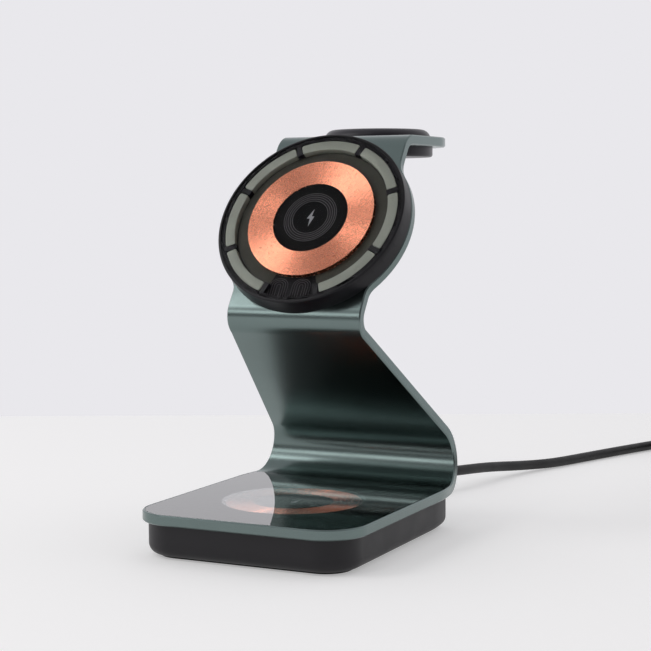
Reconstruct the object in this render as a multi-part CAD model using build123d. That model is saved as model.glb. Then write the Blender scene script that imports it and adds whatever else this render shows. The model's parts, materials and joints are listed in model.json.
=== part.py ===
from build123d import *
import os
from math import atan, cos, degrees, pi, radians, sin, sqrt, tan

# Three-in-one charging station. One bent metal plate is base, leg, upright and shelf. It
# carries a round phone pad on the upright, a watch puck on the shelf and, under the glass
# of its base, a coil for a pair of earbuds. Millimetres, +Z up, +Y to the rear. The origin
# lies on the table, in the middle of the stand's own width and depth, mains lead left out.

# Bent plate: lengths run along its upper and front face, from fold line to fold line
plate_thick = 3.0
base_width = 68.8
base_corner_r = 12.5
base_length = 98.8
taper_lead = 10.9
neck_width = 43.0
leg_length = 83.1
leg_rise = 38.2
upright_length = 66.1
upright_lean = 34.1
lower_bend_r = 8.3
elbow_r = 6.4
top_bend_r = 8.0
lobe_margin = 0.2
lobe_above_middle = 0.15
lobe_lower_fillet = 5.5
lobe_upper_fillet = 9.0
shelf_straight = 0.25
edge_chamfer = 0.35
bend_sections = 12
join_tolerance = 0.001

# Clearances, and the share of its wall that a fillet may take
fit_gap = 0.1
screw_gap = 0.05
wall_share = 0.95

# Glass on the base
glass_thick = 0.8
film_thick = 0.2
glass_rim_width = 0.7
glass_rear_gap = 1.0
film_window_margin = 1.1

# Base housing and its foot
foot_thick = 1.0
foot_recess = 0.4
foot_inset = 5.2
housing_height = 9.4
housing_inset = 1.7
housing_tail = 4.57
housing_wall_thick = 1.8
housing_floor = 1.6
housing_bottom_r = 3.0
housing_rear_corner_r = 5.0

# Charging coils, the same winding in the base and in the phone pad
coil_inner_r = 11.8
coil_outer_r = 19.9
base_coil_ahead = 1.0
base_coil_thick = 1.3
base_ferrite_thick = 1.0
base_ferrite_margin = 2.1
base_disc_gap = 0.4
base_disc_thick = 0.9
tray_wall_thick = 1.2
tray_floor = 0.8

# Main board and its posts
board_thick = 1.0
board_side_gap = 0.3
board_length = 24.0
board_corner_r = 2.0
board_from_bend = 17.3
board_post_height = 2.0
board_post_r = 2.2
board_post_inset = 3.4
choke_r = 4.2
choke_height = 3.0
chip_side = 6.0
chip_height = 1.1

# Screws under the base and inside the phone pad
screw_r = 1.0
screw_head_r = 1.9
screw_head_height = 1.2
base_screw_inset = 7.9
base_screw_front = 9.5
base_screw_from_bend = 6.8
base_screw_seat = 3.0
base_screw_grip = 1.5
base_boss_r = 3.2
pad_screw_inset = 5.5
pad_screw_head_height = 0.7
pad_screw_grip = 2.0
pad_screw_count = 3

# Ribbon cable in the rear groove and the strip that closes it
groove_width = 8.0
groove_depth = 1.4
ribbon_width = 6.0
ribbon_thick = 0.3
cover_thick = 0.8
groove_run_in = 12.0
cover_run_in = 9.0
groove_end_gap = 1.0
lead_hole_r = 3.0
ribbon_end_gap = 1.0

# Phone pad: levels are heights above the upright's front face
pad_height = 5.6
pad_wall_thick = 2.2
pad_draft = 0.2
pad_edge_r = 0.5
pad_floor = 1.6
pad_board_thick = 1.0
pad_board_inset = 1.3
pad_ferrite_thick = 1.0
pad_ferrite_margin = 3.9
pad_coil_thick = 1.4
pad_disc_gap = 0.2
pad_disc_thick = 1.2
antenna_inner_r = 5.5
antenna_outer_r = 8.3
antenna_thick = 0.2
pad_shoulder = 3.1
magnet_gap = 0.3
magnet_width = 3.1
magnet_thick = 2.0
magnet_count = 7
magnet_pitch = 46.1
magnet_spacing = 2.0
magnet_corner_r = 0.6
rib_width = 1.6
window_thick = 0.4
window_rim_width = 0.8
flex_thick = 0.3

# Watch puck: levels are heights above the shelf's upper face
watch_hole_r = 14.5
bezel_overhang_width = 2.2
bezel_brow_width = 1.2
bezel_height = 2.6
bezel_foot_height = 0.5
bezel_lip_width = 0.6
bezel_ledge_height = 1.5
bezel_wall_thick = 1.2
bezel_skirt_length = 4.4
face_dish_depth = 1.3
face_drop = 0.3
watch_coil_inner_r = 6.0
watch_coil_margin = 0.8
watch_coil_thick = 1.3
watch_ferrite_thick = 1.0
watch_magnet_r = 5.0
watch_board_thick = 0.8
watch_stack_gap = 0.4
cap_overhang_width = 3.0
cap_height = 3.1
cap_floor = 1.2
cap_edge_r = 0.8
cap_boss_inner_r = 6.0
cap_boss_outer_r = 9.0

# Mains lead, its strain relief, its coil and its plug: places are counted from the end of
# the strain relief, to the right and to the rear, and heights from the table
cord_r = 1.75
cord_exit_height = 6.0
gland_flange_r = 3.6
gland_flange_thick = 1.2
gland_neck_r = 2.9
gland_root_r = 3.3
gland_tip_r = 2.5
gland_length = 12.0
cord_points = [
    (0.0, 13.6, 6),
    (5.5, 33.6, 6.6),
    (12.0, 51.6, 5.9),
    (15.2, 68.6, 4.5),
    (21.0, 85.1, 2.75),
    (28.0, 100.6, 1.78),
    (35.5, 120.6, 1.78),
    (43.2, 140.6, 1.78),
    (51.5, 160.6, 1.78),
    (56.6, 172.1, 1.78),
    (62.0, 183.1, 1.78),
]
coil_centre = (85.8, 171.5)
coil_turn_r = 23.0
coil_stack = 10.5
coil_round = 3.2
tail_points = [
    (111.9, 166.8, 8.7),
    (109.5, 153.0, 8.7),
    (106.5, 131.1, 3.0),
    (105.4, 121.2, 3.0),
]
plug_width = 10.4
plug_height = 6.0
plug_length = 16.0
plug_round = 2.2
plug_relief_length = 6.0
plug_relief_r = 2.4
plug_relief_lip = 0.25
shell_width = 8.3
shell_height = 2.4
shell_length = 6.6
shell_wall_thick = 0.35
shell_side_flat = 0.1

# Sizes that follow from the ones above
leg_angle = 180 - leg_rise
upright_angle = 90 - upright_lean
lower_turn = leg_angle
elbow_turn = upright_angle - leg_angle
top_turn = -upright_angle
base_bottom = foot_thick - foot_recess + housing_height
base_top = base_bottom + plate_thick
pocket_depth = glass_thick + film_thick
pocket_floor = base_top - pocket_depth
full_turn = 360


def step(point, angle, distance):
    """Side-view point (y, z) at a distance from another, in the direction of an angle."""
    return (point[0] + distance * cos(radians(angle)), point[1] + distance * sin(radians(angle)))


def setback(radius, turn):
    """Distance from a fold line to where its bend starts."""
    return radius * tan(radians(abs(turn)) / 2)


def face_plane(point, angle):
    """Plane on the plate's upper or front face: local X across, local Y along the plate."""
    turn = radians(angle)
    return Plane(origin=(0, *point), x_dir=(1, 0, 0), z_dir=(0, -sin(turn), cos(turn)))


def cross_plane(point, angle):
    """Plane square to the plate's run: local Y goes into the plate from its outer face."""
    turn = radians(angle)
    return Plane(origin=(0, *point), x_dir=(1, 0, 0), z_dir=(0, cos(turn), sin(turn)))


# Round pieces: each ring of the phone pad and of the watch module holds the next one in
pad_ferrite_r = coil_outer_r + pad_ferrite_margin
magnet_inner_r = pad_ferrite_r + magnet_gap
magnet_outer_r = magnet_inner_r + magnet_width
pad_face_r = magnet_outer_r + pad_wall_thick
pad_rear_r = pad_face_r + pad_draft
lobe_r = pad_rear_r + lobe_margin
cap_r = watch_hole_r + cap_overhang_width
pad_board_r = pad_ferrite_r - pad_board_inset
pad_screw_circle_r = pad_board_r - pad_screw_inset
pad_disc_r = coil_inner_r - pad_disc_gap
base_disc_r = coil_inner_r - base_disc_gap
film_window_r = coil_outer_r + film_window_margin
base_ferrite_r = coil_outer_r + base_ferrite_margin
tray_window_r = base_ferrite_r + tray_wall_thick + 2 * fit_gap

# The shelf's round end stands clear of the top bend, and the watch module in its middle
neck_half = neck_width / 2
watch_setback = setback(top_bend_r, top_turn) + shelf_straight + neck_half
stand_depth = (base_length - leg_length * cos(radians(leg_rise))
               + upright_length * sin(radians(upright_lean)) + watch_setback + neck_half)
front_y = -stand_depth / 2

# Flat stretches of the plate: where each starts in the side view, and how long it is
low_fold = (front_y + base_length, base_top)
elbow_fold = step(low_fold, leg_angle, leg_length)
top_fold = step(elbow_fold, upright_angle, upright_length)
base_flat = base_length - setback(lower_bend_r, lower_turn)
leg_flat = leg_length - setback(lower_bend_r, lower_turn) - setback(elbow_r, elbow_turn)
upright_flat = upright_length - setback(elbow_r, elbow_turn) - setback(top_bend_r, top_turn)
shelf_flat = watch_setback - setback(top_bend_r, top_turn)
base_start = (front_y, base_top)
base_end = (front_y + base_flat, base_top)
leg_start = step(low_fold, leg_angle, setback(lower_bend_r, lower_turn))
leg_end = step(leg_start, leg_angle, leg_flat)
upright_start = step(elbow_fold, upright_angle, setback(elbow_r, elbow_turn))
upright_end = step(upright_start, upright_angle, upright_flat)
shelf_start = step(top_fold, 0, setback(top_bend_r, top_turn))

# The sides draw in evenly from the base, round the lower bend and up the leg to the neck
bend_run = lower_bend_r * radians(lower_turn)
taper = (base_width / 2 - neck_half) / (taper_lead / 2 + bend_run + leg_flat)
half_at_bend = base_width / 2 - taper * taper_lead / 2
half_at_leg = half_at_bend - taper * bend_run
slanted_cut = edge_chamfer / cos(atan(taper))

base_plane = face_plane(base_start, 0)
upright_plane = face_plane(upright_start, upright_angle)
pad_from_elbow = upright_length / 2 + lobe_above_middle
pad_centre = step(elbow_fold, upright_angle, pad_from_elbow)
pad_plane = face_plane(pad_centre, upright_angle)
watch_y = top_fold[0] + watch_setback
shelf_top = top_fold[1]
watch_plane = Plane(origin=(0, watch_y, shelf_top))
base_coil_from_front = base_flat / 2 - base_coil_ahead
coil_y = front_y + base_coil_from_front
housing_length = base_flat + housing_tail
base_screw_x = base_width / 2 - base_screw_inset
base_screw_rear = base_flat - base_screw_from_bend
board_from_front = base_flat - board_from_bend
board_width = 2 * (base_screw_x - base_boss_r - board_side_gap)


def base_outline(inset, length):
    """Outline of the base, or of a piece drawn in from its edge, in base_plane."""
    half = base_width / 2 - inset
    half_bend = half_at_bend - inset
    reach = base_flat + 2 * housing_tail
    half_reach = half_bend - taper * (reach - base_flat)
    taper_start = base_flat - taper_lead
    middle = (taper_start + base_flat) / 2
    corner = base_corner_r - inset
    sides = []
    for hand in (1, -1):
        sides += [
            Line((0, inset), (hand * (half - corner), inset)),
            RadiusArc((hand * (half - corner), inset), (hand * half, inset + corner), -hand * corner),
            Line((hand * half, inset + corner), (hand * half, taper_start)),
            Bezier((hand * half, taper_start), (hand * half, middle), (hand * half_bend, base_flat)),
            Line((hand * half_bend, base_flat), (hand * half_reach, reach)),
        ]
    sides.append(Line((-half_reach, reach), (half_reach, reach)))
    whole = make_face(Curve() + sides)
    return whole & (Pos(0, length / 2) * Rectangle(base_width, length))


def bend_axis(start, angle, turn, radius):
    side = 1 if turn > 0 else -1
    return Axis((0, *step(start, angle + 90, side * radius)), (side, 0, 0))


def bend_layer(start, angle, turn, radius, near, far, half_width):
    """Layer of even width round a bend, between two depths below the plate's outer face."""
    outline = Pos(0, (near + far) / 2) * Rectangle(2 * half_width, far - near)
    return revolve(cross_plane(start, angle) * outline, bend_axis(start, angle, turn, radius), abs(turn))


def flat_layer(point, angle, start, end, near, far, half_width):
    """Layer of even width along a flat stretch."""
    outline = Pos(0, (start + end) / 2) * Rectangle(2 * half_width, end - start)
    return extrude(face_plane(point, angle) * Pos(0, 0, -near) * outline, -(far - near))


def run_layer(near, far, half_width, run_in, shelf_reach):
    """Layer that follows the plate from inside the base housing to the watch module."""
    layer = flat_layer(base_start, 0, base_flat - run_in, base_flat, near, far, half_width)
    layer += bend_layer(base_end, 0, lower_turn, lower_bend_r, near, far, half_width)
    layer += flat_layer(leg_start, leg_angle, 0, leg_flat, near, far, half_width)
    layer += bend_layer(leg_end, leg_angle, elbow_turn, elbow_r, near, far, half_width)
    layer += flat_layer(upright_start, upright_angle, 0, upright_flat, near, far, half_width)
    layer += bend_layer(upright_end, upright_angle, top_turn, top_bend_r, near, far, half_width)
    layer += flat_layer(shelf_start, 0, 0, shelf_reach, near, far, half_width)
    return layer


def cut_section(point, angle, half_width, side_cut):
    """Cross-section of the plate, its corners cut by the chamfer."""
    right = [(half_width - side_cut, 0), (half_width, edge_chamfer),
             (half_width, plate_thick - edge_chamfer), (half_width - side_cut, plate_thick)]
    left = [(-x, depth) for x, depth in reversed(right)]
    return (cross_plane(point, angle) * make_face(Polyline(*right, *left, close=True))).face()


def even_bend(start, angle, turn, radius):
    """Bend of even width, with the chamfer on its edges."""
    outline = cut_section(start, angle, neck_half, edge_chamfer)
    return revolve(outline, bend_axis(start, angle, turn, radius), abs(turn))


def tapered_bend():
    """The lower bend, narrowing steadily as it turns, so that its sides twist."""
    axis = bend_axis(base_end, 0, lower_turn, lower_bend_r)
    slices = []
    for number in range(bend_sections + 1):
        share = number / bend_sections
        half = half_at_bend - (half_at_bend - half_at_leg) * share
        slices.append(cut_section(base_end, 0, half, slanted_cut).rotate(axis, lower_turn * share))
    return loft(slices)


def flat_stretch(plane, outline, joins):
    """Flat stretch of the plate, chamfered all round but not where it joins a bend."""
    flat = extrude(outline, -plate_thick)
    faces = flat.faces().sort_by(Axis.Z)
    outer_edges = [edge for face in (faces[0], faces[-1]) for edge in face.edges()
                   if all(abs(edge.center().Y - join) > 0.01 for join in joins)]
    return plane * chamfer(outer_edges, edge_chamfer)


def upright_outline():
    """The upright with the round lobe that backs the phone pad, in upright_plane."""
    lobe_at = pad_from_elbow - setback(elbow_r, elbow_turn)
    outline = Pos(0, upright_flat / 2) * Rectangle(neck_width, upright_flat)
    outline += Pos(0, lobe_at) * Circle(lobe_r)
    below = (-1, lobe_lower_fillet, lobe_at)
    above = (1, lobe_upper_fillet, upright_flat - lobe_at)
    for side, radius, room in (below, above):
        widest = (room ** 2 - lobe_r ** 2 + neck_half ** 2) / (2 * (lobe_r - neck_half))
        notches = [
            corner for corner in outline.vertices()
            if abs(abs(corner.X) - neck_half) < 0.01
            and 0.01 < side * (corner.Y - lobe_at) and 0.01 < corner.Y < upright_flat - 0.01
        ]
        if notches:
            outline = fillet(notches, min(radius, wall_share * widest))
    return outline & (Pos(0, upright_flat / 2) * Rectangle(2 * lobe_r, upright_flat))


def bent_blank():
    """The whole plate, folded from one flat blank, its outer edges chamfered."""
    shelf_outline = Pos(0, shelf_flat / 2) * Rectangle(neck_width, shelf_flat)
    shelf_outline += Pos(0, shelf_flat) * Circle(neck_half)
    stretches = [
        flat_stretch(base_plane, base_outline(0, base_flat), [base_flat]),
        tapered_bend(),
        loft([cut_section(leg_start, leg_angle, half_at_leg, slanted_cut),
              cut_section(leg_end, leg_angle, neck_half, edge_chamfer)]),
        even_bend(leg_end, leg_angle, elbow_turn, elbow_r),
        flat_stretch(upright_plane, upright_outline(), [0, upright_flat]),
        even_bend(upright_end, upright_angle, top_turn, top_bend_r),
        flat_stretch(face_plane(shelf_start, 0), shelf_outline, [0]),
    ]
    solids = [stretch.solid() for stretch in stretches]
    return solids[0].fuse(*solids[1:], tol=join_tolerance).clean()


def base_screw_places():
    return [(hand * base_screw_x, place) for hand in (1, -1) for place in (base_screw_front, base_screw_rear)]


def pad_screw_places():
    return PolarLocations(pad_screw_circle_r, pad_screw_count)


def stand_plate():
    plate = bent_blank()
    glass_seat = base_outline(glass_rim_width, base_flat - glass_rear_gap)
    plate -= extrude(base_plane * glass_seat, -pocket_depth)
    plate -= extrude(base_plane * Pos(0, base_coil_from_front) * Circle(tray_window_r), -plate_thick)
    for x, y in base_screw_places():
        place = Pos(x, front_y + y, base_bottom)
        plate -= place * extrude(Circle(screw_r + screw_gap), base_screw_grip + screw_gap)
    groove_reach = shelf_flat - watch_hole_r + groove_end_gap
    plate -= run_layer(plate_thick - groove_depth, plate_thick, groove_width / 2, groove_run_in, groove_reach)
    plate -= extrude(pad_plane * Circle(lead_hole_r), -plate_thick)
    for place in pad_screw_places():
        plate -= pad_plane * place * extrude(Circle(screw_r + screw_gap), -(pad_screw_grip + screw_gap))
    plate -= extrude(watch_plane * Circle(watch_hole_r), -plate_thick)
    return plate


def ribbon_cable():
    near = plate_thick - groove_depth
    run_in = groove_run_in - ribbon_end_gap
    return run_layer(near, near + ribbon_thick, ribbon_width / 2, run_in, shelf_flat - watch_hole_r)


def channel_cover():
    half = groove_width / 2 - fit_gap
    return run_layer(plate_thick - cover_thick, plate_thick, half, cover_run_in, shelf_flat - cap_r - fit_gap)


def base_glass():
    outline = base_outline(glass_rim_width + fit_gap, base_flat - glass_rear_gap - fit_gap)
    return extrude(base_plane * outline, -glass_thick)


def base_film():
    outline = base_outline(glass_rim_width + fit_gap, base_flat - glass_rear_gap - fit_gap)
    outline -= Pos(0, base_coil_from_front) * Circle(film_window_r)
    return extrude(base_plane * Pos(0, 0, -glass_thick) * outline, -film_thick)


def ring(inner, outer, low, high):
    """Flat ring, or a disc where the inner radius is nothing."""
    outline = Circle(outer)
    if inner > 0:
        outline -= Circle(inner)
    return Pos(0, 0, low) * extrude(outline, high - low)


def spin(*points):
    """Solid turned about the local Z axis from (radius, level) points."""
    outline = make_face(Polyline(*points, close=True))
    return revolve(Plane.XZ * outline, Axis.Z)


# The base's coil stands on its ferrite in a tray that fills the plate's window
coil_place = Pos(0, coil_y, 0)
base_coil_top = pocket_floor
base_ferrite_top = base_coil_top - base_coil_thick
tray_seat = base_ferrite_top - base_ferrite_thick


def base_coil_tray():
    tray = ring(0, tray_window_r - fit_gap, tray_seat - tray_floor, pocket_floor)
    tray -= ring(0, base_ferrite_r + fit_gap, tray_seat, pocket_floor)
    return coil_place * tray


def base_ferrite():
    return coil_place * ring(0, base_ferrite_r, tray_seat, base_ferrite_top)


def base_coil():
    return coil_place * ring(coil_inner_r, coil_outer_r, base_ferrite_top, base_coil_top)


def base_disc():
    return coil_place * ring(0, base_disc_r, base_ferrite_top, base_ferrite_top + base_disc_thick)


def housing_plan(inset, length, corner_r):
    """Plan of the housing or of its hollow, with rounded rear corners."""
    plan = base_outline(inset, length)
    rear = [corner for corner in plan.vertices() if corner.Y > length - 0.01]
    widest = (length - base_flat) / tan((radians(90) - atan(taper)) / 2)
    return fillet(rear, min(corner_r, wall_share * widest))


def board_posts():
    """Centres of the four posts under the main board, seen from above."""
    half_x = board_width / 2 - board_post_inset
    half_y = board_length / 2 - board_post_inset
    return [(x, board_from_front + y) for x in (half_x, -half_x) for y in (half_y, -half_y)]


def base_housing():
    bottom = base_bottom - housing_height
    floor_top = bottom + housing_floor
    under_bend_r = lower_bend_r + plate_thick
    rear_lip = under_bend_r - sqrt(under_bend_r ** 2 - housing_tail ** 2)
    on_floor = Plane(origin=(0, front_y, bottom))
    shell = extrude(on_floor * housing_plan(housing_inset, housing_length, housing_rear_corner_r),
                    housing_height + rear_lip)
    shell = fillet(shell.faces().sort_by(Axis.Z)[0].edges(), housing_bottom_r)
    inner_r = housing_rear_corner_r - housing_wall_thick
    hollow = housing_plan(housing_inset + housing_wall_thick, housing_length - housing_wall_thick, inner_r)
    shell -= extrude(on_floor * Pos(0, 0, housing_floor) * hollow, housing_height + rear_lip)
    for x, y in base_screw_places():
        shell += Pos(x, front_y + y, bottom) * extrude(Circle(base_boss_r), housing_height)
    for x, y in board_posts():
        shell += Pos(x, front_y + y, floor_top) * extrude(Circle(board_post_r), board_post_height)
    for x, y in base_screw_places():
        place = Pos(x, front_y + y, bottom)
        shell -= place * extrude(Circle(screw_head_r + fit_gap), base_screw_seat - bottom)
        shell -= place * extrude(Circle(screw_r + fit_gap), housing_height)
    foot_outline = base_outline(foot_inset - fit_gap, housing_length - foot_inset + housing_inset + fit_gap)
    shell -= extrude(on_floor * foot_outline, foot_recess)
    above = Plane(origin=(0, front_y, base_bottom))
    shell -= extrude(above * Pos(0, base_flat / 2) * Rectangle(2 * base_width, base_flat), 2 * plate_thick)
    bend_centre = (0, base_end[0], base_top + lower_bend_r)
    under_bend = Circle(under_bend_r + fit_gap)
    shell -= extrude(Plane(origin=bend_centre, z_dir=(1, 0, 0)) * under_bend, base_width, both=True)
    gland_hole = Plane(origin=(0, front_y + housing_length, cord_exit_height), z_dir=(0, -1, 0))
    shell -= extrude(gland_hole * Circle(gland_neck_r + fit_gap), housing_wall_thick)
    return shell


def foot_pad():
    outline = base_outline(foot_inset, housing_length - foot_inset + housing_inset)
    return extrude(Plane(origin=(0, front_y, 0)) * outline, foot_thick)


def base_screws():
    """Four screws, heads down, up through the housing's bosses into the plate."""
    screws = []
    for x, y in base_screw_places():
        screw = ring(0, screw_head_r, base_screw_seat - screw_head_height, base_screw_seat)
        screw += ring(0, screw_r, base_screw_seat, base_bottom + base_screw_grip)
        screws.append(Pos(x, front_y + y, 0) * screw)
    return Compound(children=screws)


def main_board():
    low = base_bottom - housing_height + housing_floor + board_post_height
    place = Pos(0, front_y + board_from_front, low)
    board = place * extrude(RectangleRounded(board_width, board_length, board_corner_r), board_thick)
    top = place * Pos(0, 0, board_thick)
    for x in (-board_width / 4, board_width / 4):
        board += top * Pos(x, board_length / 5, 0) * extrude(Circle(choke_r), choke_height)
    for x in (-chip_side, chip_side):
        board += top * Pos(x, -board_length / 5, 0) * extrude(Rectangle(chip_side, chip_side), chip_height)
    return board


# Levels inside the phone pad, from its floor up to the clear window
pad_ferrite_low = pad_floor + pad_board_thick
pad_ferrite_top = pad_ferrite_low + pad_ferrite_thick
window_low = pad_height - window_thick
magnet_span = magnet_pitch - degrees(magnet_spacing / ((magnet_inner_r + magnet_outer_r) / 2))
shoulder_r = pad_ferrite_r + fit_gap
well_r = magnet_outer_r + fit_gap
gap_centre = 270


def magnet_angles():
    """Middle of each magnet, counted from the gap at the bottom of the ring."""
    first = gap_centre + full_turn / 2 - magnet_pitch * (magnet_count - 1) / 2
    return [first + magnet_pitch * number for number in range(magnet_count)]


def ring_sector(inner, outer, span):
    """Piece of a flat ring, centred on the local X axis."""
    reach = 2 * outer
    half = radians(span / 2)
    wedge = make_face(Polyline((0, 0), (reach * cos(half), -reach * sin(half)),
                               (reach * cos(half), reach * sin(half)), close=True))
    return (Circle(outer) - Circle(inner)) & wedge


def pad_shell():
    shell = spin((lead_hole_r, 0), (pad_rear_r, 0), (pad_face_r, pad_height),
                 (pad_face_r - window_rim_width, pad_height), (pad_face_r - window_rim_width, window_low),
                 (well_r, window_low), (well_r, pad_shoulder), (shoulder_r, pad_shoulder),
                 (shoulder_r, pad_floor), (lead_hole_r, pad_floor))
    front_rim = shell.edges().filter_by(GeomType.CIRCLE).sort_by(Axis.Z)[-2:].sort_by(SortBy.RADIUS)[-1]
    shell = fillet(front_rim, pad_edge_r)
    rib = Pos((shoulder_r + well_r) / 2, 0) * Rectangle(well_r - shoulder_r + 2 * fit_gap, rib_width)
    for angle in magnet_angles() + [magnet_angles()[-1] + magnet_pitch]:
        between = Rot(0, 0, angle - magnet_pitch / 2) * rib & (Circle(well_r + fit_gap) - Circle(shoulder_r))
        shell += Pos(0, 0, pad_shoulder) * extrude(between, magnet_thick)
    for place in pad_screw_places():
        shell -= place * extrude(Circle(screw_r + fit_gap), pad_floor)
        shell -= Pos(0, 0, pad_floor - pad_screw_head_height) * place * extrude(
            Circle(screw_head_r + fit_gap), pad_screw_head_height)
    return pad_plane * shell


def pad_board():
    board = ring(0, pad_board_r, pad_floor, pad_ferrite_low)
    board += ring(0, lead_hole_r - 2 * fit_gap, groove_depth - plate_thick, pad_floor)
    return pad_plane * board


def pad_ferrite():
    return pad_plane * ring(0, pad_ferrite_r, pad_ferrite_low, pad_ferrite_top)


def pad_coil():
    return pad_plane * ring(coil_inner_r, coil_outer_r, pad_ferrite_top, pad_ferrite_top + pad_coil_thick)


def pad_disc():
    return pad_plane * ring(0, pad_disc_r, pad_ferrite_top, pad_ferrite_top + pad_disc_thick)


def pad_antenna():
    low = pad_ferrite_top + pad_disc_thick
    return pad_plane * ring(antenna_inner_r, antenna_outer_r, low, low + antenna_thick)


def pad_magnets():
    """Seven curved magnets in a ring that is open at the bottom."""
    outline = ring_sector(magnet_inner_r, magnet_outer_r, magnet_span)
    magnet = Pos(0, 0, pad_shoulder) * extrude(fillet(outline.vertices(), magnet_corner_r), magnet_thick)
    return Compound(children=[pad_plane * Rot(0, 0, angle) * magnet for angle in magnet_angles()])


def pad_flex():
    """Flexible circuit in the gap of the magnet ring."""
    gap_span = full_turn - magnet_pitch * (magnet_count + 1) + magnet_span
    outline = Rot(0, 0, gap_centre) * ring_sector(shoulder_r, well_r - fit_gap, gap_span)
    return pad_plane * Pos(0, 0, pad_shoulder) * extrude(outline, flex_thick)


def pad_window():
    return pad_plane * ring(0, pad_face_r - window_rim_width - fit_gap, window_low, pad_height)


def pad_screws():
    """Screws from inside the pad into the plate, under the pad's board."""
    screws = []
    seat = pad_floor - pad_screw_head_height
    for place in pad_screw_places():
        screw = ring(0, screw_head_r, seat, pad_floor)
        screw += ring(0, screw_r, -pad_screw_grip, seat)
        screws.append(pad_plane * place * screw)
    return Compound(children=screws)


# The bezel stands on the shelf and its skirt goes down through the shelf into the cap
skirt_r = watch_hole_r - fit_gap
bore_r = skirt_r - bezel_wall_thick
bezel_base_r = watch_hole_r + bezel_overhang_width
bezel_lip_r = bore_r - bezel_lip_width
bezel_top_r = bezel_lip_r + bezel_brow_width
watch_stack_r = bore_r - watch_stack_gap
watch_coil_outer_r = watch_stack_r - watch_coil_margin
watch_ferrite_top = -watch_coil_thick
watch_board_top = watch_ferrite_top - watch_ferrite_thick
cap_low = -plate_thick - cap_height


def watch_bezel():
    width = bezel_base_r - bezel_top_r
    rise = bezel_height - bezel_foot_height
    brow_r = (width ** 2 + rise ** 2) / (2 * rise)
    shoulder = Line((bezel_base_r, 0), (bezel_base_r, bezel_foot_height))
    brow = RadiusArc((bezel_base_r, bezel_foot_height), (bezel_top_r, bezel_height), -brow_r)
    inside = Polyline((bezel_top_r, bezel_height), (bezel_lip_r, bezel_height),
                      (bezel_lip_r, bezel_ledge_height), (bore_r, bezel_ledge_height),
                      (bore_r, -bezel_skirt_length), (skirt_r, -bezel_skirt_length),
                      (skirt_r, 0), (bezel_base_r, 0))
    outline = make_face(Curve() + [shoulder, brow, inside])
    return watch_plane * revolve(Plane.XZ * outline, Axis.Z)


def watch_face():
    """Dished face, held under the bezel's lip."""
    boss_r = bezel_lip_r - fit_gap
    face_top = bezel_height - face_drop
    dish_r = (boss_r ** 2 + face_dish_depth ** 2) / (2 * face_dish_depth)
    face = ring(0, bore_r - fit_gap, 0, bezel_ledge_height) + ring(0, boss_r, 0, face_top)
    return watch_plane * (face - Pos(0, 0, face_top + dish_r - face_dish_depth) * Sphere(dish_r))


def watch_coil():
    return watch_plane * ring(watch_coil_inner_r, watch_coil_outer_r, watch_ferrite_top, 0)


def watch_magnet():
    return watch_plane * ring(0, watch_magnet_r, watch_board_top, 0)


def watch_ferrite():
    return watch_plane * ring(watch_magnet_r + fit_gap, watch_stack_r, watch_board_top, watch_ferrite_top)


def watch_board():
    return watch_plane * ring(0, watch_stack_r, watch_board_top - watch_board_thick, watch_board_top)


def watch_cap():
    """Cap that closes the module from below, with a boss under the board."""
    cap = spin((0, cap_low), (cap_r, cap_low), (cap_r, -plate_thick), (watch_hole_r, -plate_thick),
               (watch_hole_r, -bezel_skirt_length), (bore_r, -bezel_skirt_length),
               (bore_r, cap_low + cap_floor),
               (0, cap_low + cap_floor))
    cap = fillet(cap.faces().sort_by(Axis.Z)[0].edges(), cap_edge_r)
    cap += ring(cap_boss_inner_r, cap_boss_outer_r, cap_low + cap_floor, watch_board_top - watch_board_thick)
    return watch_plane * cap


# The strain relief points straight back from the housing's rear wall
wall_rear = front_y + housing_length
gland_end = wall_rear + gland_length
lead_start = Vector(0, gland_end, 0)


def cable_gland():
    """Moulded strain relief with a flange inside the wall, tapered outside."""
    inner = -housing_wall_thick - fit_gap - gland_flange_thick
    body = spin((0, inner), (gland_flange_r, inner), (gland_flange_r, -housing_wall_thick - fit_gap),
                (gland_neck_r, -housing_wall_thick - fit_gap), (gland_neck_r, 0), (gland_root_r, 0),
                (gland_tip_r, gland_length), (0, gland_length))
    return Plane(origin=(0, wall_rear, cord_exit_height), z_dir=(0, 1, 0)) * body


def tube(points, name):
    """Round cord along straight runs that are joined by arcs as large as the runs allow."""
    places = [lead_start + Vector(*point) for point in points]
    runs = [after - before for before, after in zip(places, places[1:])]
    radii = []
    for before, after in zip(runs, runs[1:]):
        half_turn = radians(before.get_angle(after)) / 2
        radii.append(0.45 * min(before.length, after.length) / tan(half_turn))
    route = FilletPolyline(*places, radius=radii)
    start = Plane(origin=route @ 0, z_dir=route % 0)
    solid = sweep(start * Circle(cord_r), path=route)
    print(name, "radii", [round(radius) for radius in radii], "length", round(route.length, 1),
          "volume ratio", round(solid.volume / (pi * cord_r ** 2 * route.length), 4))
    return solid


def power_cord():
    return tube([(0, 0, cord_exit_height)] + cord_points, "power_cord")


def cord_coil():
    """Outer shape of the coiled part of the lead, lying on the table."""
    block = Pos(coil_turn_r, coil_stack / 2) * Rectangle(coil_stack, coil_stack)
    outline = chamfer(block.vertices(), coil_round)
    return Pos(lead_start + Vector(*coil_centre)) * revolve(Plane.XZ * outline, Axis.Z)


def cord_tail():
    return tube(tail_points, "cord_tail")


tail_end = lead_start + Vector(*tail_points[-1])
tail_direction = tail_end - lead_start - Vector(*tail_points[-2])
plug_plane = Plane(origin=tail_end, x_dir=(tail_direction.Y, -tail_direction.X, 0),
                   z_dir=(tail_direction.X, tail_direction.Y, 0))


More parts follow.
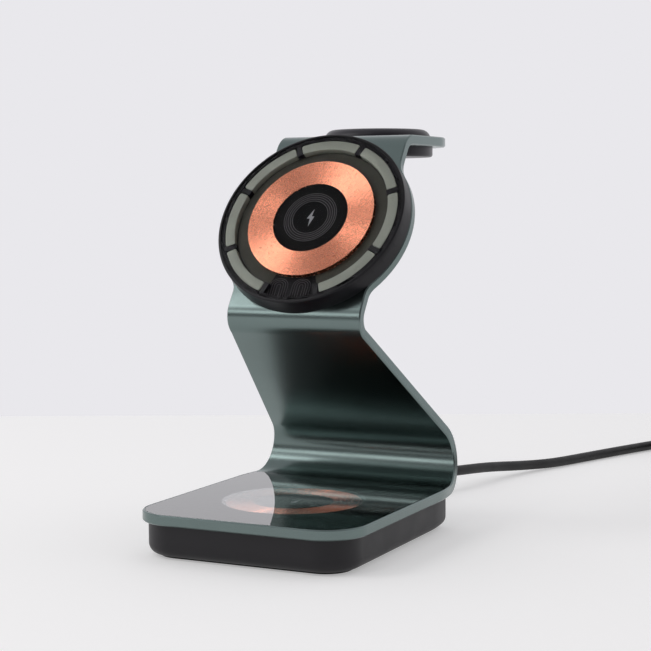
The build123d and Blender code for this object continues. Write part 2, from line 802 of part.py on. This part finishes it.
def plug_body():
    relief = Cone(cord_r + plug_relief_lip, plug_relief_r, plug_relief_length)
    grip = extrude(RectangleRounded(plug_width, plug_height, plug_round), plug_length)
    relief = Pos(0, 0, plug_relief_length / 2) * relief
    return plug_plane * (relief + Pos(0, 0, plug_relief_length) * grip)


def plug_shell():
    outline = RectangleRounded(shell_width, shell_height, (shell_height - shell_side_flat) / 2)
    bore = RectangleRounded(shell_width - 2 * shell_wall_thick, shell_height - 2 * shell_wall_thick,
                            (shell_height - shell_side_flat) / 2 - shell_wall_thick)
    shell = extrude(outline, shell_length) - Pos(0, 0, shell_wall_thick) * extrude(bore, shell_length)
    return plug_plane * Pos(0, 0, plug_relief_length + plug_length) * shell


pieces = [
    stand_plate, channel_cover, ribbon_cable,
    base_glass, base_film, base_coil_tray, base_ferrite, base_coil, base_disc,
    base_housing, main_board, base_screws, foot_pad,
    pad_shell, pad_board, pad_ferrite, pad_coil, pad_disc, pad_antenna,
    pad_magnets, pad_flex, pad_window, pad_screws,
    watch_bezel, watch_face, watch_coil, watch_magnet, watch_ferrite, watch_board, watch_cap,
    cable_gland, power_cord, cord_coil, cord_tail, plug_body, plug_shell,
]
os.makedirs("parts", exist_ok=True)
for piece in pieces:
    export_step(piece(), f"parts/{piece.__name__}.step")
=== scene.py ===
import json
from math import atan2, cos, hypot, pi, radians, sin, sqrt

import bpy
from mathutils import Matrix, Vector


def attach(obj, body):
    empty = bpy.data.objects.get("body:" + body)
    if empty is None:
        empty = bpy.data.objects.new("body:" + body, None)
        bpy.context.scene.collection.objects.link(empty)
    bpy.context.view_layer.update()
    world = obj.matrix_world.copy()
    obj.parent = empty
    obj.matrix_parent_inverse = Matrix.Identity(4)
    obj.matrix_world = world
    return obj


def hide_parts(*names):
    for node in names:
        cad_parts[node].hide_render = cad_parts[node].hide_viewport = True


# Looks of the three-in-one charging station. The stand's real sizes are read from the
# frame; what is added here is in metres, and mm turns a size in millimetres into metres.
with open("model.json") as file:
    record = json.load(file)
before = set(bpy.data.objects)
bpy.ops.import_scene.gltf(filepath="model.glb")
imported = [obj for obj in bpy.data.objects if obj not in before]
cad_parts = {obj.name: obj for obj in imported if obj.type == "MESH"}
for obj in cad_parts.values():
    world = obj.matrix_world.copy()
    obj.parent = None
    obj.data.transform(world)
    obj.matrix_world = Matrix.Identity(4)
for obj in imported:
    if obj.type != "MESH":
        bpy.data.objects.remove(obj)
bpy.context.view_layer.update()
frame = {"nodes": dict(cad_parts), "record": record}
nodes = frame["nodes"]
mm = 0.001

# The photograph's camera: its place, the way it looks in degrees, and its focal length
CAMERA_AT = Vector((209.1, -431.4, 100.5)) * mm
CAMERA_YAW = 25.92
CAMERA_PITCH = -4.59
CAMERA_ROLL = -0.28
FOCAL_MM = 88.42
SENSOR_MM = 36.0

# Mains lead, in mm: its thickness, the route of its plain stretch, and the tail that ends in
# the plug
CORD_D = 3.5
CORD_ROUTE = [
    (0.0, 32.38, 6.0), (0.0, 45.98, 6.0), (5.5, 65.98, 6.6), (12.0, 83.98, 5.9), (15.2, 100.98, 4.5),
    (21.0, 117.48, 2.75), (28.0, 132.98, 1.78), (35.5, 152.98, 1.78), (43.2, 172.98, 1.78),
    (51.5, 192.98, 1.78), (56.6, 204.48, 1.78), (62.0, 215.48, 1.78),
]
CORD_TAIL = [(109.5, 185.4, 8.7), (106.5, 163.5, 3.0), (105.4, 153.6, 3.0)]

# Its put-away coil, in mm and degrees: where the turns lie across and above each other, the place of
# each turn in order, the angle it starts at, how far it turns, and how far it turns to change place
COIL_CENTRE = Vector((85.8, 203.88))
COIL_COLUMNS = (26.7, 23.2, 19.7)
COIL_LAYERS = (1.78, 5.23, 8.68)
COIL_PLACES = [(0, 0), (0, 1), (1, 1), (1, 0), (2, 0), (2, 1), (2, 2), (1, 2), (0, 2)]
COIL_START = 153.9
COIL_ARC = 3044.0
COIL_CHANGE = 100.0
COIL_STEPS = 152

# Where the two faces lie and look: the phone pad's clear face, the glass over the base's winding
mounts = {mount["name"]: mount for mount in frame["record"]["mounts"]}
pad_axis = mounts["phone_face"]["axis"]
PAD_PLACE = Matrix.Translation(mounts["phone_face"]["pos_m"]) @ Matrix.Rotation(
    atan2(-pad_axis[1], pad_axis[2]), 4, "X")
GLASS_PLACE = Matrix.Translation(mounts["earbud_face"]["pos_m"])

# Paper floor: its side and far edge in metres, and how much paler it shows than it is lit
PAPER_COLOUR = "#e6e5e4"
PAPER_SIDE = 6
PAPER_FAR_EDGE = 0.735
PAPER_LIFT = 0.34

# Room: the share of the backdrop's light that is left towards the camera and overhead. The light
# falls to it smoothly as a direction's part that way goes from the first to the second value.
BACKDROP_COLOUR = "#e9e8ec"
ROOM_FRONT = 0.22
ROOM_FRONT_SPAN = (-0.1, 0.7)
ROOM_OVERHEAD = 0.72
ROOM_OVERHEAD_SPAN = (0.4, 0.9)

# Soft boxes: name, place and aim in mm, width and height in mm, watts
LAMPS = [
    ("soft_box", (-780, -610, 850), (0, 0, 60), 400, 520, 2.3),
    ("low_box", (-470, -920, 460), (0, 0, 60), 420, 240, 0.75),
    ("top_box", (-110, -640, 1030), (0, 0, 90), 180, 140, 0.36),
]

# Surfaces: where the noise of a mottle runs from dull to glossy, and a moulded piece's patches in mm
NOISE_SPAN = (0.3, 0.7)
MOULD_PATCH = 9

# Mesh work: sizes in mm, angles in degrees
MERGE_GAP = 0.002
SPIN_MERGE_GAP = 0.001
FLAT_ANGLE = 0.5
BEVEL_ANGLE = 40
BEVEL_SEGMENTS = 3
FINE_BEVEL = 0.15

# Frame pieces that are smoothed: node, new name, angle up to which they shade smooth, bevel in mm
SMOOTHED = [
    ("stand_plate", "plate_body", 20, 0),
    ("channel_cover", "groove_strip", 25, 0),
    ("base_housing", "housing_shell", 25, 0),
    ("pad_shell", "pad_cup", 25, 0),
    ("pad_magnets", "magnet_ring", 30, FINE_BEVEL),
    ("watch_bezel", "puck_rim", 25, 0),
    ("watch_face", "puck_dish", 25, 0),
    ("watch_cap", "puck_cap", 25, 0),
    ("cable_gland", "strain_relief", 25, 0),
]

# Windings and prints, in mm on the face that they lie under, angles in degrees
WIRE_TURNS = 22
WIRE_SIDES = 2
PAD_WIRE_SLOPE = 22
BASE_WIRE_SLOPE = 100
WINDING_STEPS = 144
RING_STEPS = 96
ARC_STEPS = 12
BOLT = [(0.6, 2.9), (-1.1, -0.4), (-0.1, -0.4), (0.0, -3.1), (1.2, 0.35), (0.35, 0.35)]
PRINT_THICK = 0.03
FINE_LINE_W = 0.13
ANTENNA_LINES = (5.6, 6.3, 7.0, 7.7, 8.3)
TRACK_GROUPS = [(-7.3, -1.5), (0.0, 5.7)]
TRACK_TOPS = (-20.4, -20.9, -21.5, -22.3)
TRACK_INSETS = (0.0, 0.75, 1.5, 2.3)
TRACK_RISE = 0.8
TRACK_END_R = 26.9
FILM_INNER_R = 20.1
FILM_MIDDLE = 270
FILM_SPAN = 37
FILM_THICK = 0.08


# Colours, nodes and materials
def colour(text):
    """Linear colour of an sRGB hex value."""
    levels = [int(text[place:place + 2], 16) / 255 for place in (1, 3, 5)]
    linear = [level / 12.92 if level <= 0.04045 else ((level + 0.055) / 1.055) ** 2.4 for level in levels]
    return (*linear, 1.0)


def add(material, kind, links=(), **settings):
    """Adds a node. A setting named in_X sets the input X; each link joins an output to an input."""
    node = material.node_tree.nodes.new(kind)
    for name, value in settings.items():
        if name.startswith("in_"):
            key = name[3:].replace("_", " ")
            node.inputs[int(key) if key.isdigit() else key].default_value = value
        else:
            setattr(node, name, value)
    for socket, target in links:
        material.node_tree.links.new(socket, node.inputs[target])
    return node


def start(name, **settings):
    """New material with its surface shader, whose inputs take the given uniform values."""
    material = bpy.data.materials.new(name)
    material.use_nodes = True
    shader = material.node_tree.nodes["Principled BSDF"]
    for key, value in settings.items():
        shader.inputs[key.replace("_", " ")].default_value = value
    return material, shader


def join(material, socket, node, target):
    """Links an output to an input that is there already."""
    material.node_tree.links.new(socket, node.inputs[target])


def mottle(material, shader, size_mm, low, high, base, shade):
    """Uneven colour and gloss over patches of a real size, as handling and moulding leave them."""
    place = add(material, "ShaderNodeTexCoord")
    patches = add(material, "ShaderNodeTexNoise", [(place.outputs["Object"], "Vector")],
                  in_Scale=1000 / size_mm, in_Detail=4.0, in_Roughness=0.6)
    gloss = add(material, "ShaderNodeMapRange", [(patches.outputs["Fac"], "Value")],
                in_From_Min=NOISE_SPAN[0], in_From_Max=NOISE_SPAN[1], in_To_Min=low, in_To_Max=high)
    join(material, gloss.outputs["Result"], shader, "Roughness")
    tint = add(material, "ShaderNodeMix", [(patches.outputs["Fac"], 0)], data_type="RGBA",
               in_6=colour(base), in_7=colour(shade))
    join(material, tint.outputs[2], shader, "Base Color")
    return place


def grain(material, shader, place, size_mm, depth_mm):
    """Fine bump of a real size, such as blasting or a moulded texture."""
    bumps = add(material, "ShaderNodeTexNoise", [(place.outputs["Object"], "Vector")],
                in_Scale=1000 / size_mm, in_Detail=2.0)
    bump = add(material, "ShaderNodeBump", [(bumps.outputs["Fac"], "Height")],
               in_Strength=1.0, in_Distance=depth_mm * mm)
    join(material, bump.outputs["Normal"], shader, "Normal")


def anodised_plate():
    """Anodised aluminium, bead-blasted: a soft metal gloss in a dark grey-green."""
    material, shader = start("anodised_aluminium", Metallic=1.0)
    place = mottle(material, shader, 14, 0.23, 0.27, "#73817f", "#6e7c7a")
    grain(material, shader, place, 0.4, 0.0005)
    return material


def moulded(name, base, shade, low, high, size_mm, depth_mm, specular=0.5):
    """Moulded plastic, film or board: a colour that is a little uneven, and a fine texture."""
    material, shader = start(name, Specular_IOR_Level=specular)
    place = mottle(material, shader, MOULD_PATCH, low, high, base, shade)
    grain(material, shader, place, size_mm, depth_mm)
    return material


def polished_glass():
    """Polished soda-lime glass: fully clear, with the mirror shine of both its faces at low angles."""
    material, shader = start("polished_glass", Transmission_Weight=1.0, Roughness=0.0, IOR=1.5,
                             Coat_Weight=0.5, Coat_Roughness=0.0)
    shader.inputs["Base Color"].default_value = colour("#f6f8f8")
    return material


def coated_window():
    """Clear window with an anti-reflection coat: the eye sees what lies below it, and hardly any shine."""
    material, shader = start("coated_window", Transmission_Weight=1.0, Roughness=0.0, IOR=1.04)
    shader.inputs["Base Color"].default_value = colour("#fcfcfc")
    return material


def enamelled_copper():
    """Enamelled copper wire: warm metal whose turns glitter where the enamel is uneven."""
    material, shader = start("enamelled_copper", Metallic=1.0)
    place = mottle(material, shader, 0.8, 0.23, 0.29, "#f0a184", "#e08867")
    grain(material, shader, place, 0.4, 0.007)
    return material


def coated_magnet():
    """Nickel-plated magnet under a matt grey-green coat: dull, even, a little metallic."""
    material, shader = start("coated_magnet", Metallic=0.3)
    place = mottle(material, shader, 5, 0.5, 0.6, "#a0a499", "#999d91")
    grain(material, shader, place, 0.2, 0.003)
    return material


def plated_steel():
    """Plated steel: bright and smooth, with a faint unevenness that breaks up its shine."""
    material, shader = start("plated_steel", Metallic=1.0)
    place = mottle(material, shader, 2, 0.2, 0.3, "#b9b9b6", "#a9a9a8")
    grain(material, shader, place, 0.15, 0.002)
    return material


def screen_print(name, base, shade):
    """Screen print: flat and matt, and faintly uneven in colour."""
    material, shader = start(name)
    mottle(material, shader, 0.8, 0.5, 0.6, base, shade)
    return material


# By the slot's name. A moulded surface has its name, its two colours, its lowest and highest
# roughness, the size and depth of its texture in mm, and its specular level where it isn't 0.5.
steel = plated_steel()
materials = {
    "anodised_plate": anodised_plate(),
    "clear_glass": polished_glass(),
    "clear_window": coated_window(),
    "black_film": moulded("black_film", "#0b0c0d", "#0e0f10", 0.35, 0.45, 0.3, 0.001),
    "black_plastic": moulded("black_nylon", "#101012", "#141416", 0.5, 0.6, 0.2, 0.004),
    "ferrite_sheet": moulded("ferrite_sheet", "#3c3b31", "#34342b", 0.6, 0.7, 0.15, 0.004),
    "copper_winding": enamelled_copper(),
    "disc_board": moulded("black_solder_mask", "#161617", "#19191a", 0.5, 0.6, 0.2, 0.001, 0.05),
    "housing_plastic": moulded("black_abs", "#1c1a1e", "#201e22", 0.42, 0.5, 0.12, 0.004, 0.4),
    "circuit_board": moulded("green_solder_mask", "#12382a", "#16412f", 0.3, 0.4, 0.3, 0.003),
    "screw_steel": steel,
    "foot_rubber": moulded("silicone_rubber", "#1a1a1b", "#1f1f20", 0.7, 0.8, 0.2, 0.006),
    "pad_plastic": moulded("satin_black_abs", "#141317", "#18161b", 0.36, 0.44, 0.12, 0.003, 0.25),
    "antenna_film": moulded("antenna_film", "#2b2a2c", "#282729", 0.5, 0.6, 0.2, 0.002, 0.05),
    "magnet_metal": coated_magnet(),
    "flex_film": moulded("flexible_film", "#18171a", "#1b1a1d", 0.45, 0.55, 0.2, 0.001, 0.1),
    "puck_plastic": moulded("satin_grey_abs", "#2d2a31", "#322f36", 0.32, 0.4, 0.12, 0.002, 0.35),
    "dish_plastic": moulded("smooth_polycarbonate", "#2c2b30", "#302f34", 0.15, 0.2, 0.3, 0.001),
    "cord_rubber": moulded("soft_pvc_jacket", "#161617", "#1b1b1c", 0.45, 0.6, 0.3, 0.008),
    "plug_plastic": moulded("plug_overmould", "#19191b", "#1d1d1f", 0.45, 0.55, 0.2, 0.006),
    "plug_steel": steel,
}
bolt_print = screen_print("pale_screen_print", "#a6a7aa", "#98999d")
line_print = screen_print("grey_screen_print", "#656365", "#5c5a5c")

slot_of = {part["node"]: part["material_slot"] for part in frame["record"]["subparts"]}
for name, node in nodes.items():
    for place in node.material_slots:
        place.material = materials[slot_of[name]]


# Mesh work
def take(piece):
    """Makes a piece the only selected and active one."""
    bpy.ops.object.select_all(action="DESELECT")
    piece.select_set(True)
    bpy.context.view_layer.objects.active = piece


def finish_piece(piece, name, material, replaced=()):
    """Names a piece, gives it its material and slot, and lets it ride on the stand."""
    take(piece)
    bpy.ops.object.transform_apply(location=True, rotation=True, scale=True)
    piece.name = name
    piece.data.materials.clear()
    piece.data.materials.append(material)
    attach(piece, "root")
    if replaced:
        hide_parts(*replaced)
    return piece


def apply(piece, modifier):
    """Applies a modifier, so that the piece keeps only its mesh."""
    take(piece)
    bpy.ops.object.modifier_apply(modifier=modifier.name)


def smooth_copy(node, name, angle=25, bevel_mm=0):
    """Copy of a frame node with its triangles merged and its curved faces shaded smooth."""
    source = nodes[node]
    piece = source.copy()
    piece.data = source.data.copy()
    piece.parent = None
    bpy.context.scene.collection.objects.link(piece)
    take(piece)
    bpy.ops.object.mode_set(mode="EDIT")
    bpy.ops.mesh.select_all(action="SELECT")
    bpy.ops.mesh.remove_doubles(threshold=MERGE_GAP * mm)
    bpy.ops.mesh.customdata_custom_splitnormals_clear()
    bpy.ops.mesh.dissolve_limited(angle_limit=radians(FLAT_ANGLE))
    bpy.ops.object.mode_set(mode="OBJECT")
    for key in [key for key in piece.keys() if key.startswith("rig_")]:
        del piece[key]
    if bevel_mm:
        bevel = piece.modifiers.new("Bevel", "BEVEL")
        bevel.width = bevel_mm * mm
        bevel.segments = BEVEL_SEGMENTS
        bevel.limit_method = "ANGLE"
        bevel.angle_limit = radians(BEVEL_ANGLE)
        apply(piece, bevel)
    bpy.ops.object.shade_smooth_by_angle(angle=radians(angle))
    slot = slot_of[node]
    return finish_piece(piece, name, materials[slot], [node])


def drawn_line(points):
    """Draws a line of corners as by hand, each extruded from the one before, and stays in edit mode."""
    bpy.ops.mesh.primitive_plane_add(size=mm)
    piece = bpy.context.object
    take(piece)
    bpy.ops.object.mode_set(mode="EDIT")
    bpy.ops.mesh.select_mode(type="VERT")
    bpy.ops.mesh.select_all(action="SELECT")
    bpy.ops.mesh.merge(type="CENTER")
    bpy.ops.transform.translate(value=Vector(points[0]) * mm)
    for before, after in zip(points, points[1:]):
        step = (Vector(after) - Vector(before)) * mm
        bpy.ops.mesh.extrude_vertices_move(TRANSFORM_OT_translate={"value": step})
    return piece


def spun(piece, steps, angle):
    """Spins the drawn outline round the local Z axis into a closed ring."""
    bpy.ops.mesh.select_all(action="SELECT")
    bpy.ops.mesh.spin(steps=steps, angle=2 * pi, center=(0, 0, 0), axis=(0, 0, 1))
    bpy.ops.mesh.select_all(action="SELECT")
    bpy.ops.mesh.remove_doubles(threshold=SPIN_MERGE_GAP * mm)
    bpy.ops.mesh.normals_make_consistent(inside=False)
    bpy.ops.object.mode_set(mode="OBJECT")
    bpy.ops.object.shade_smooth_by_angle(angle=radians(angle))
    return piece


def round_size(node, place):
    """Lowest and highest level and inner and outer radius of a round node, in mm from a face's middle."""
    corners = [place.inverted() @ corner.co / mm for corner in nodes[node].data.vertices]
    levels = [corner.z for corner in corners]
    radii = [hypot(corner.x, corner.y) for corner in corners]
    return min(levels), max(levels), min(radii), max(radii)


# Windings and prints
def winding(node, name, place, slope):
    """Flat coil of wire: one ridged turn, repeated outwards, closed below and spun. The ridge is an arc
    of the given slope at its feet, drawn with straight sides."""
    low, high, inner, outer = round_size(node, place)
    pitch = (outer - inner) / WIRE_TURNS
    crown_r = pitch / 2 / sin(radians(slope))
    foot = high - crown_r * (1 - cos(radians(slope)))
    turns = [radians(slope * (2 * step / WIRE_SIDES - 1)) for step in range(WIRE_SIDES + 1)]
    piece = drawn_line([(inner + pitch / 2 + crown_r * sin(turn), 0, high - crown_r * (1 - cos(turn)))
                        for turn in turns])
    bpy.ops.object.mode_set(mode="OBJECT")
    rows = piece.modifiers.new("Array", "ARRAY")
    rows.count = WIRE_TURNS
    rows.use_relative_offset = False
    rows.use_constant_offset = True
    rows.constant_offset_displace = (pitch * mm, 0, 0)
    rows.use_merge_vertices = True
    rows.merge_threshold = SPIN_MERGE_GAP * mm
    apply(piece, rows)
    reach = [corner.co.x for corner in piece.data.vertices]
    for corner in piece.data.vertices:
        corner.select = corner.co.x in (min(reach), max(reach))
    for edge in piece.data.edges:
        edge.select = False
    bpy.ops.object.mode_set(mode="EDIT")
    bpy.ops.mesh.extrude_vertices_move(TRANSFORM_OT_translate={"value": (0, 0, (low - foot) * mm)})
    bpy.ops.mesh.edge_face_add()
    spun(piece, WINDING_STEPS, angle=20)
    piece.matrix_world = place
    return finish_piece(piece, name, materials["copper_winding"], [node])


def flat_print(outline, thick):
    """Flat shape of a drawn outline, raised to its thickness in mm."""
    piece = drawn_line(outline)
    bpy.ops.mesh.select_all(action="SELECT")
    bpy.ops.mesh.edge_face_add()
    bpy.ops.mesh.extrude_region_move(TRANSFORM_OT_translate={"value": (0, 0, thick * mm)})
    bpy.ops.mesh.select_all(action="SELECT")
    bpy.ops.mesh.normals_make_consistent(inside=False)
    bpy.ops.object.mode_set(mode="OBJECT")
    return piece


def print_bolt(name, place, level):
    """Small lightning bolt, the plain sign for charging, as a raised print."""
    piece = flat_print([(x, y, level) for x, y in BOLT], PRINT_THICK)
    piece.matrix_world = place
    return finish_piece(piece, name, bolt_print)


def joined(pieces, name, material, place):
    """Joins pieces that repeat into one, and puts it in its place."""
    take(pieces[0])
    for piece in pieces:
        piece.select_set(True)
    bpy.ops.object.join()
    piece = bpy.context.object
    piece.matrix_world = place
    return finish_piece(piece, name, material)


def antenna_lines(level):
    """Fine printed rings of the small antenna round the bolt."""
    rings = []
    for radius in ANTENNA_LINES:
        inner, outer = radius - FINE_LINE_W / 2, radius + FINE_LINE_W / 2
        ring = drawn_line([(inner, 0, level), (outer, 0, level), (outer, 0, level + PRINT_THICK),
                           (inner, 0, level + PRINT_THICK)])
        bpy.ops.mesh.select_all(action="SELECT")
        bpy.ops.mesh.edge_face_add()
        bpy.ops.mesh.delete(type="ONLY_FACE")
        rings.append(spun(ring, RING_STEPS, angle=40))
    return joined(rings, "antenna_rings", line_print, PAD_PLACE)


def track_film(level):
    """Black film in the gap of the magnet ring, over the winding's edge, which carries the fine tracks."""
    turns = [radians(FILM_MIDDLE - FILM_SPAN / 2 + FILM_SPAN * step / ARC_STEPS)
             for step in range(ARC_STEPS + 1)]
    outline = [(FILM_INNER_R * cos(turn), FILM_INNER_R * sin(turn)) for turn in turns]
    outline += [(TRACK_END_R * cos(turn), TRACK_END_R * sin(turn)) for turn in reversed(turns)]
    piece = flat_print([(x, y, level) for x, y in outline], FILM_THICK)
    piece.matrix_world = PAD_PLACE
    return finish_piece(piece, "track_film", materials["flex_film"])


def film_tracks(level):
    """Fine tracks on the film, in two groups of nested hoops."""
    hoops = []
    for left, right in TRACK_GROUPS:
        for inset, top in zip(TRACK_INSETS, TRACK_TOPS):
            low_x, high_x = left + inset, right - inset
            bend = (high_x - low_x) / 2
            arc = [(bend * cos(pi - pi * step / ARC_STEPS), bend * TRACK_RISE * sin(pi * step / ARC_STEPS))
                   for step in range(ARC_STEPS + 1)]
            line = [((low_x + high_x) / 2 + x, top - bend * TRACK_RISE + y) for x, y in arc]
            line = [(low_x, -sqrt(TRACK_END_R ** 2 - low_x ** 2))] + line
            line += [(high_x, -sqrt(TRACK_END_R ** 2 - high_x ** 2))]
            hoop = drawn_line([(x, y, level) for x, y in line])
            bpy.ops.object.mode_set(mode="OBJECT")
            bpy.ops.object.convert(target="CURVE")
            hoop.data.bevel_depth = FINE_LINE_W / 2 * mm
            hoop.data.bevel_resolution = 1
            hoop.data.use_fill_caps = True
            bpy.ops.object.convert(target="MESH")
            hoops.append(bpy.context.object)
    return joined(hoops, "film_tracks", line_print, PAD_PLACE)


# Camera
def camera():
    """The photograph's view, level line and lens."""
    yaw, pitch, roll = (radians(angle) for angle in (CAMERA_YAW, CAMERA_PITCH, CAMERA_ROLL))
    forward = Vector((-sin(yaw) * cos(pitch), cos(yaw) * cos(pitch), sin(pitch)))
    right = Vector((cos(yaw), sin(yaw), 0))
    up = right.cross(forward)
    level_right = cos(roll) * right + sin(roll) * up
    level_up = cos(roll) * up - sin(roll) * right
    turn = Matrix((level_right, level_up, -forward)).transposed().to_4x4()
    data = bpy.data.cameras.new("camera")
    data.lens = FOCAL_MM
    data.sensor_width = SENSOR_MM
    data.clip_start = 0.01
    piece = bpy.data.objects.new("camera", data)
    piece.matrix_world = Matrix.Translation(CAMERA_AT) @ turn
    bpy.context.scene.collection.objects.link(piece)
    bpy.context.scene.camera = piece


# Mains lead
def coil_points():
    """Turns of the put-away lead. Each turn lies in one of nine places, beside or on the others."""
    places = [Vector((COIL_COLUMNS[column], COIL_LAYERS[layer])) for column, layer in COIL_PLACES]
    span = COIL_ARC / len(places)
    points = []
    for number in range(1, COIL_STEPS + 1):
        turned = COIL_ARC * number / COIL_STEPS
        index = min(int(turned / span), len(places) - 1)
        change = min(max((turned - span * (index + 1)) / COIL_CHANGE + 1, 0.0), 1.0)
        following = places[min(index + 1, len(places) - 1)]
        radius, height = places[index].lerp(following, change * change * (3 - 2 * change))
        angle = radians(COIL_START - turned)
        points.append((COIL_CENTRE.x + radius * cos(angle), COIL_CENTRE.y + radius * sin(angle), height))
    return points


def power_cord():
    """The lead as one curve."""
    route = CORD_ROUTE + coil_points() + CORD_TAIL
    data = bpy.data.curves.new("power_cord", "CURVE")
    data.dimensions = "3D"
    data.bevel_depth = CORD_D / 2 * mm
    data.bevel_resolution = 6
    data.resolution_u = 6
    line = data.splines.new("NURBS")
    line.points.add(len(route) - 1)
    for point, (x, y, z) in zip(line.points, route):
        point.co = (x * mm, y * mm, z * mm, 1)
    line.order_u = 3
    line.use_endpoint_u = True
    piece = bpy.data.objects.new("power_cord_line", data)
    bpy.context.scene.collection.objects.link(piece)
    data.materials.append(materials["cord_rubber"])
    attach(piece, "root")
    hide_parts("power_cord", "cord_coil", "cord_tail")


# Floor, backdrop and lights
def stage():
    """Pale paper with a straight far edge behind the stand. It shows a little paler than it is lit."""
    yaw = radians(CAMERA_YAW)
    forward = Vector((-sin(yaw), cos(yaw), 0))
    middle = Vector((CAMERA_AT.x, CAMERA_AT.y, 0)) + forward * (PAPER_FAR_EDGE - PAPER_SIDE / 2)
    bpy.ops.mesh.primitive_plane_add(size=PAPER_SIDE, location=middle, rotation=(0, 0, yaw))
    floor = bpy.context.object
    floor.name = "floor"
    material, shader = start("pale_paper", Roughness=0.9, Specular_IOR_Level=0.1)
    shader.inputs["Base Color"].default_value = colour(PAPER_COLOUR)
    shader.inputs["Emission Color"].default_value = colour("#ffffff")
    seen = add(material, "ShaderNodeLightPath")
    direct = add(material, "ShaderNodeMath", [
        (seen.outputs["Is Camera Ray"], 0), (seen.outputs["Is Glossy Ray"], 1)], operation="MAXIMUM")
    lift = add(material, "ShaderNodeMath", [(direct.outputs[0], 0)], operation="MULTIPLY", in_1=PAPER_LIFT)
    join(material, lift.outputs[0], shader, "Emission Strength")
    floor.data.materials.append(material)


def studio():
    """Pale backdrop all round. The room behind the camera and overhead gives less light than it."""
    world = bpy.data.worlds.new("studio")
    world.use_nodes = True
    shine = world.node_tree.nodes["Background"]
    shine.inputs["Color"].default_value = colour(BACKDROP_COLOUR)
    place = add(world, "ShaderNodeTexCoord")
    toward = add(world, "ShaderNodeVectorMath", [(place.outputs["Generated"], 0)], operation="DOT_PRODUCT",
                 in_1=(sin(radians(CAMERA_YAW)), -cos(radians(CAMERA_YAW)), 0))
    front = add(world, "ShaderNodeMapRange", [(toward.outputs["Value"], "Value")],
                interpolation_type="SMOOTHSTEP", in_From_Min=ROOM_FRONT_SPAN[0],
                in_From_Max=ROOM_FRONT_SPAN[1], in_To_Min=1.0, in_To_Max=ROOM_FRONT)
    height = add(world, "ShaderNodeSeparateXYZ", [(place.outputs["Generated"], "Vector")])
    over = add(world, "ShaderNodeMapRange", [(height.outputs["Z"], "Value")],
               interpolation_type="SMOOTHSTEP", in_From_Min=ROOM_OVERHEAD_SPAN[0],
               in_From_Max=ROOM_OVERHEAD_SPAN[1], in_To_Min=1.0, in_To_Max=ROOM_OVERHEAD)
    room = add(world, "ShaderNodeMath", [(front.outputs["Result"], 0), (over.outputs["Result"], 1)],
               operation="MULTIPLY")
    seen = add(world, "ShaderNodeLightPath")
    shown = add(world, "ShaderNodeMath", [(room.outputs[0], 0), (seen.outputs["Is Camera Ray"], 1)],
                operation="MAXIMUM")
    join(world, shown.outputs[0], shine, "Strength")
    bpy.context.scene.world = world


def lamp(name, at_mm, aim_mm, width_mm, height_mm, watts):
    """Soft box that looks at a point."""
    data = bpy.data.lights.new(name, "AREA")
    data.shape = "RECTANGLE"
    data.size = width_mm * mm
    data.size_y = height_mm * mm
    data.energy = watts
    piece = bpy.data.objects.new(name, data)
    piece.location = Vector(at_mm) * mm
    piece.rotation_euler = (Vector(aim_mm) - Vector(at_mm)).to_track_quat("-Z", "Y").to_euler()
    bpy.context.scene.collection.objects.link(piece)


camera()
plug = [smooth_copy("plug_body", "plug_grip"), smooth_copy("plug_shell", "plug_sleeve", bevel_mm=FINE_BEVEL)]
power_cord()
stage()
studio()
for box in LAMPS:
    lamp(*box)
for node, name, angle, bevel_mm in SMOOTHED:
    smooth_copy(node, name, angle, bevel_mm)
winding("pad_coil", "pad_winding", PAD_PLACE, PAD_WIRE_SLOPE)
winding("base_coil", "base_winding", GLASS_PLACE, BASE_WIRE_SLOPE)
print_bolt("pad_bolt", PAD_PLACE, round_size("pad_disc", PAD_PLACE)[1])
print_bolt("base_bolt", GLASS_PLACE, round_size("base_disc", GLASS_PLACE)[1])
antenna_lines(round_size("pad_antenna", PAD_PLACE)[1])
film_level = round_size("pad_ferrite", PAD_PLACE)[1]
track_film(film_level)
film_tracks(film_level + FILM_THICK)

bpy.context.scene.view_settings.view_transform = "Standard"
